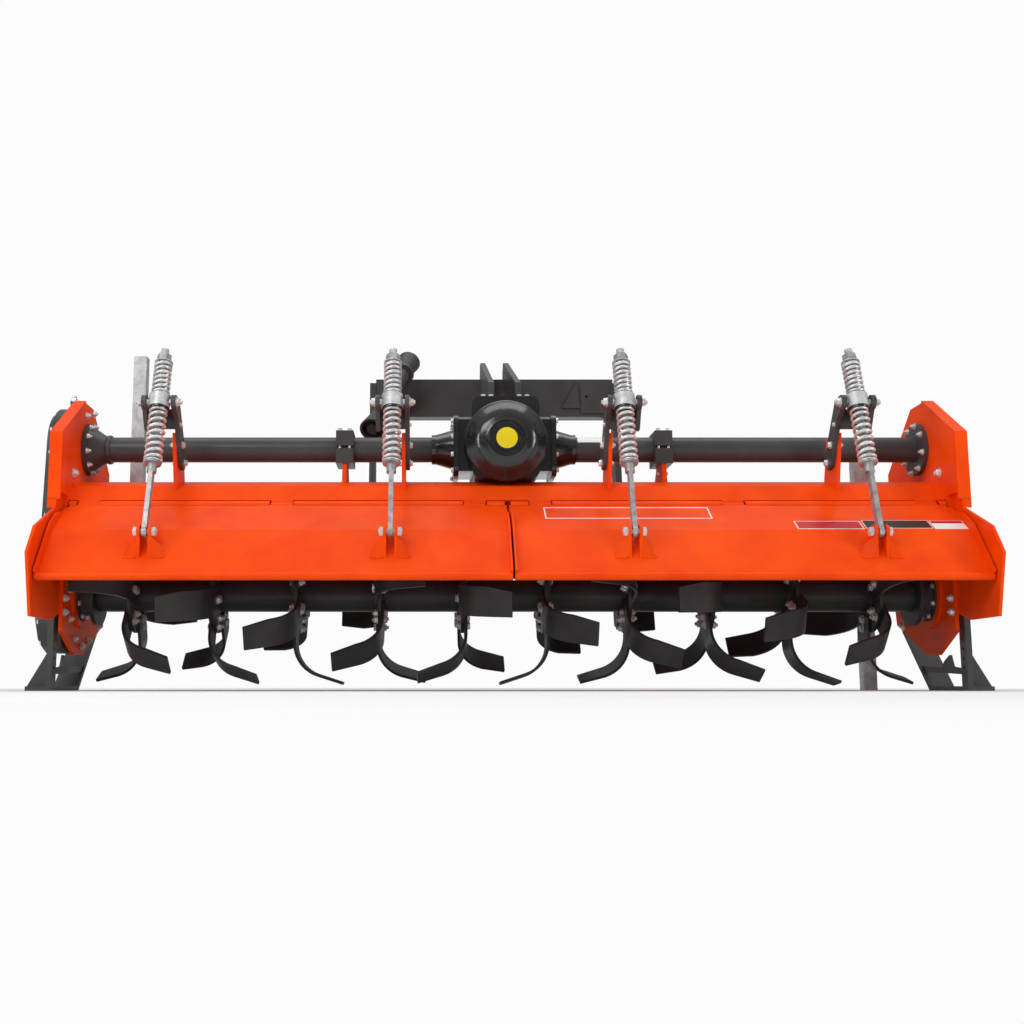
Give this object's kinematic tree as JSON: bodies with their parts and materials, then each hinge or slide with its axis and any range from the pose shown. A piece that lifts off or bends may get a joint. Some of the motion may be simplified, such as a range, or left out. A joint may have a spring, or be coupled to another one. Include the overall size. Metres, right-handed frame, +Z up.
{
  "type": "rotary tiller",
  "caption": "Tractor-mounted rotary tiller with a tined rotor under a hood, spring-loaded tailboards, gearbox, hitch frame, skids and parking stands.",
  "frame": {"origin": "on the floor under the middle of the machine", "axes": "+Y towards the tractor, +X to the right seen from behind, +Z up"},
  "size_m": [2.59, 1, 1.0946],
  "materials": {
    "orange_paint": "gloss",
    "grey_paint": "satin",
    "black_paint": "gloss",
    "blade_paint": "satin",
    "zinc": "bright plated",
    "steel": "machined"
  },
  "bodies": {
    "frame": {"hood": "orange_paint", "hinge_rods": "zinc", "side_plate_left": "orange_paint", "side_plate_right": "orange_paint", "end_plates": "orange_paint", "spring_lugs": "orange_paint", "spring_yokes": "grey_paint", "cross_tubes": "grey_paint", "tube_clamps": "grey_paint", "clamp_webs": "orange_paint", "gearbox_housing": "black_paint", "gearbox_cover": "black_paint", "side_gear_case": "grey_paint", "rotor_bearings": "grey_paint", "hitch_beam": "grey_paint", "lower_hitch_left": "grey_paint", "lower_hitch_right": "grey_paint", "top_link_mast": "grey_paint", "drive_shaft_guard": "blade_paint", "skid_left": "grey_paint", "skid_right": "grey_paint", "stand_sockets": "grey_paint"},
    "rotor": {"rotor_tube": "blade_paint", "rotor_blades": "blade_paint"},
    "pto_input": {"input_shaft": "steel"},
    "tailboard_left": {"tailboard_left": "orange_paint", "clevis_pins_left": "zinc"},
    "tailboard_right": {"tailboard_right": "orange_paint", "clevis_pins_right": "zinc"},
    "stand_left": {"stand_left": "zinc"},
    "stand_right": {"stand_right": "zinc"},
    "collar_outer_left": {"collar_outer_left": "zinc", "springs_outer_left": "zinc"},
    "spring_rod_outer_left": {"spring_rod_outer_left": "zinc"},
    "collar_inner_left": {"collar_inner_left": "zinc", "springs_inner_left": "zinc"},
    "spring_rod_inner_left": {"spring_rod_inner_left": "zinc"},
    "collar_inner_right": {"collar_inner_right": "zinc", "springs_inner_right": "zinc"},
    "spring_rod_inner_right": {"spring_rod_inner_right": "zinc"},
    "collar_outer_right": {"collar_outer_right": "zinc", "springs_outer_right": "zinc"},
    "spring_rod_outer_right": {"spring_rod_outer_right": "zinc"}
  },
  "joints": [
    {"name": "rotor_spin", "type": "hinge", "parent": "frame", "child": "rotor", "pos_m": [0, -0.06, 0.266], "axis": [1, 0, 0], "continuous": true},
    {"name": "pto_input_spin", "type": "hinge", "parent": "frame", "child": "pto_input", "pos_m": [0, 0.188, 0.692], "axis": [0, 1, 0], "continuous": true},
    {"name": "tailboard_left_hinge", "type": "hinge", "parent": "frame", "child": "tailboard_left", "pos_m": [-0.6, -0.20802, 0.50014], "axis": [-1, 0, 0], "range_deg": [-10, 20]},
    {"name": "tailboard_right_hinge", "type": "hinge", "parent": "frame", "child": "tailboard_right", "pos_m": [0.6, -0.20802, 0.50014], "axis": [-1, 0, 0], "range_deg": [-10, 20]},
    {"name": "collar_outer_left_turn", "type": "hinge", "parent": "frame", "child": "collar_outer_left", "pos_m": [-0.948, -0.29, 0.776], "axis": [-1, 0, 0], "range_deg": [-3.85, 7.65]},
    {"name": "spring_rod_outer_left_slide", "type": "slide", "parent": "collar_outer_left", "child": "spring_rod_outer_left", "axis": [0, 0.3071, 0.9517], "range_m": [-0.03, 0.0598], "deforming": ["springs_outer_left"]},
    {"name": "collar_inner_left_turn", "type": "hinge", "parent": "frame", "child": "collar_inner_left", "pos_m": [-0.315, -0.29, 0.776], "axis": [-1, 0, 0], "range_deg": [-3.85, 7.65]},
    {"name": "spring_rod_inner_left_slide", "type": "slide", "parent": "collar_inner_left", "child": "spring_rod_inner_left", "axis": [0, 0.3071, 0.9517], "range_m": [-0.03, 0.0598], "deforming": ["springs_inner_left"]},
    {"name": "collar_inner_right_turn", "type": "hinge", "parent": "frame", "child": "collar_inner_right", "pos_m": [0.315, -0.29, 0.776], "axis": [-1, 0, 0], "range_deg": [-3.85, 7.65]},
    {"name": "spring_rod_inner_right_slide", "type": "slide", "parent": "collar_inner_right", "child": "spring_rod_inner_right", "axis": [0, 0.3071, 0.9517], "range_m": [-0.03, 0.0598], "deforming": ["springs_inner_right"]},
    {"name": "collar_outer_right_turn", "type": "hinge", "parent": "frame", "child": "collar_outer_right", "pos_m": [0.948, -0.29, 0.776], "axis": [-1, 0, 0], "range_deg": [-3.85, 7.65]},
    {"name": "spring_rod_outer_right_slide", "type": "slide", "parent": "collar_outer_right", "child": "spring_rod_outer_right", "axis": [0, 0.3071, 0.9517], "range_m": [-0.03, 0.0598], "deforming": ["springs_outer_right"]},
    {"name": "stand_left_slide", "type": "slide", "parent": "frame", "child": "stand_left", "axis": [0, 0, 1], "range_m": [-0.324, 0.061]},
    {"name": "stand_right_slide", "type": "slide", "parent": "frame", "child": "stand_right", "axis": [0, 0, 1], "range_m": [0, 0.385]}
  ],
  "couplings": [
    {"joint": "pto_input_spin", "follows": "rotor_spin", "ratio": 2.5},
    {"joint": "collar_outer_left_turn", "follows": "tailboard_left_hinge", "ratio": 0.38},
    {"joint": "spring_rod_outer_left_slide", "follows": "tailboard_left_hinge", "m_per_rad": 0.1704},
    {"joint": "collar_inner_left_turn", "follows": "tailboard_left_hinge", "ratio": 0.38},
    {"joint": "spring_rod_inner_left_slide", "follows": "tailboard_left_hinge", "m_per_rad": 0.1704},
    {"joint": "collar_inner_right_turn", "follows": "tailboard_right_hinge", "ratio": 0.38},
    {"joint": "spring_rod_inner_right_slide", "follows": "tailboard_right_hinge", "m_per_rad": 0.1704},
    {"joint": "collar_outer_right_turn", "follows": "tailboard_right_hinge", "ratio": 0.38},
    {"joint": "spring_rod_outer_right_slide", "follows": "tailboard_right_hinge", "m_per_rad": 0.1704}
  ]
}
